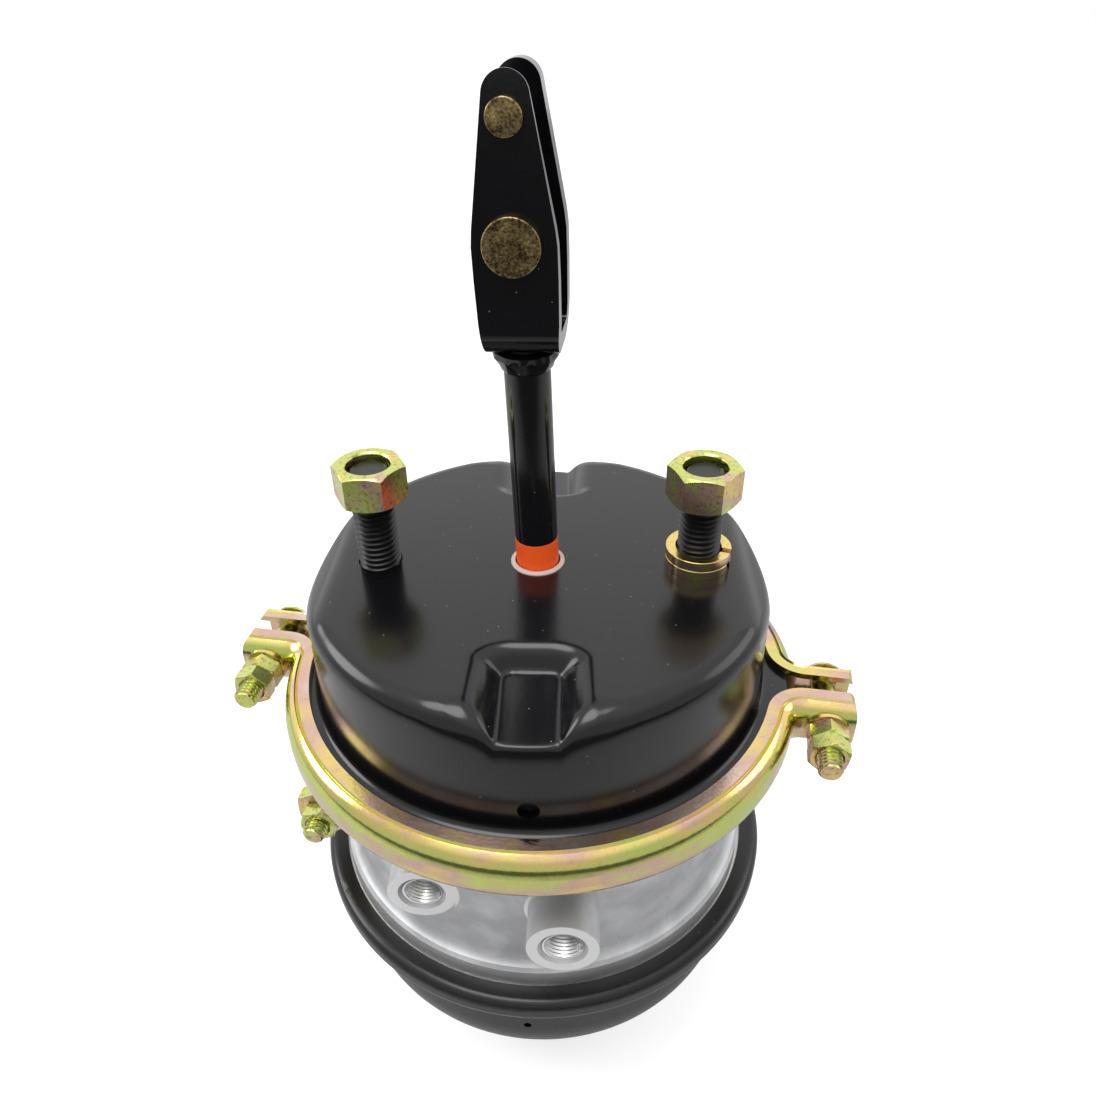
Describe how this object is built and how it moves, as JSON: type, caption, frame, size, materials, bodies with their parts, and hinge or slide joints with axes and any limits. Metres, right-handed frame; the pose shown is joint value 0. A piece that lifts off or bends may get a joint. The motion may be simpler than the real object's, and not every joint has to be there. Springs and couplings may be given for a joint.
{
  "type": "spring brake chamber",
  "caption": "Combination air brake actuator: clamped service chamber with push rod, yoke and two mounting studs over a domed spring chamber.",
  "frame": {"origin": "centre of the flat mounting face, on the chamber's axis", "axes": "+Z out of the mounting face along the push rod, +X to the stud that carries the two lock washers, -Y to the air ports"},
  "size_m": [0.2514, 0.206, 0.4194],
  "materials": {
    "black_paint": "satin gloss black",
    "rod_black": "gloss black",
    "yellow_zinc": "iridescent yellow passivated zinc",
    "cast_aluminium": "die cast, satin",
    "orange_band": "matt orange over-stroke mark",
    "white_plastic": "matt white",
    "rubber": "matt",
    "spring_steel": "dark oiled",
    "plain_steel": "plain"
  },
  "bodies": {
    "chamber": {"service_housing": "black_paint", "mounting_stud_left": "black_paint", "mounting_stud_right": "black_paint", "pushrod_guide": "white_plastic", "service_return_spring": "spring_steel", "service_diaphragm": "rubber", "clamp_front": "yellow_zinc", "clamp_rear": "yellow_zinc", "clamp_bolt_left": "yellow_zinc", "clamp_bolt_right": "yellow_zinc", "flange_case": "cast_aluminium", "centre_bush": "white_plastic", "rod_seal_upper": "rubber", "rod_seal_lower": "rubber", "adapter_return_spring": "spring_steel", "spring_diaphragm": "rubber", "power_spring": "spring_steel", "spring_housing": "black_paint"},
    "push_plate": {"push_plate": "plain_steel", "rod_retainer": "plain_steel"},
    "rod": {"pushrod": "rod_black", "stroke_band": "orange_band", "clevis": "rod_black", "clevis_weld": "rod_black"},
    "yoke_pin_large": {"clevis_pin_large": "yellow_zinc", "cotter_pin_large": "yellow_zinc"},
    "yoke_pin_small": {"clevis_pin_small": "yellow_zinc", "cotter_pin_small": "yellow_zinc"},
    "adapter": {"adapter_rod": "cast_aluminium", "adapter_nut": "plain_steel", "pressure_plate": "plain_steel"},
    "stud_nut_left": {"stud_nut_left": "yellow_zinc"},
    "stud_nut_right": {"stud_nut_right": "yellow_zinc"},
    "lock_washers": {"lock_washer_lower": "yellow_zinc", "lock_washer_upper": "yellow_zinc"},
    "clamp_nuts_left": {"clamp_washer_left": "yellow_zinc", "clamp_nut_left": "yellow_zinc", "clamp_lock_nut_left": "yellow_zinc"},
    "clamp_nuts_right": {"clamp_washer_right": "yellow_zinc", "clamp_nut_right": "yellow_zinc", "clamp_lock_nut_right": "yellow_zinc"},
    "dust_plug": {"dust_plug": "rubber"},
    "release_nuts": {"release_collar": "yellow_zinc", "release_nut": "yellow_zinc"},
    "release_bolt": {"release_bolt": "yellow_zinc"}
  },
  "joints": [
    {"name": "stroke", "type": "slide", "parent": "chamber", "child": "push_plate", "axis": [-0.027, 0.007, 0.9996], "range_m": [-0.0635, 0], "stiffness_N_per_m": 1500, "springref_m": 0.03, "deforming": ["service_return_spring", "service_diaphragm"]},
    {"name": "rod_turn", "type": "hinge", "parent": "push_plate", "child": "rod", "pos_m": [0.00027, -0.00007, -0.01], "axis": [-0.027, 0.007, 0.9996], "continuous": true},
    {"name": "large_pin_turn", "type": "hinge", "parent": "rod", "child": "yoke_pin_large", "pos_m": [-0.00331, 0.00086, 0.12245], "axis": [0.0976, 0.9952, -0.0043], "continuous": true},
    {"name": "small_pin_turn", "type": "hinge", "parent": "rod", "child": "yoke_pin_small", "pos_m": [-0.00425, 0.0011, 0.15744], "axis": [0.0976, 0.9952, -0.0043], "continuous": true},
    {"name": "adapter_travel", "type": "slide", "parent": "chamber", "child": "adapter", "axis": [0, 0, 1], "range_m": [-0.0635, 0], "deforming": ["power_spring", "adapter_return_spring", "spring_diaphragm"]},
    {"name": "stud_nut_left_travel", "type": "slide", "parent": "chamber", "child": "stud_nut_left", "axis": [0, 0, 1], "range_m": [-0.0275, 0.03]},
    {"name": "stud_nut_right_travel", "type": "slide", "parent": "chamber", "child": "stud_nut_right", "axis": [0, 0, 1], "range_m": [0, 0.03]},
    {"name": "lock_washers_travel", "type": "slide", "parent": "chamber", "child": "lock_washers", "axis": [0, 0, 1], "range_m": [0, 0.0198]},
    {"name": "clamp_nuts_left_travel", "type": "slide", "parent": "chamber", "child": "clamp_nuts_left", "axis": [-0.1426, -0.9898, 0], "range_m": [0, 0.028]},
    {"name": "clamp_nuts_right_travel", "type": "slide", "parent": "chamber", "child": "clamp_nuts_right", "axis": [-0.1426, -0.9898, 0], "range_m": [0, 0.028]},
    {"name": "dust_plug_travel", "type": "slide", "parent": "chamber", "child": "dust_plug", "axis": [0, 0, -1], "range_m": [0, 0.012]},
    {"name": "release_nuts_travel", "type": "slide", "parent": "chamber", "child": "release_nuts", "axis": [-0.1426, -0.9898, 0], "range_m": [0, 0.03]},
    {"name": "release_bolt_travel", "type": "slide", "parent": "chamber", "child": "release_bolt", "axis": [0.1426, 0.9898, 0], "range_m": [0, 0.06]}
  ],
  "couplings": [
    {"joint": "adapter_travel", "follows": "stroke", "ratio": 1}
  ]
}
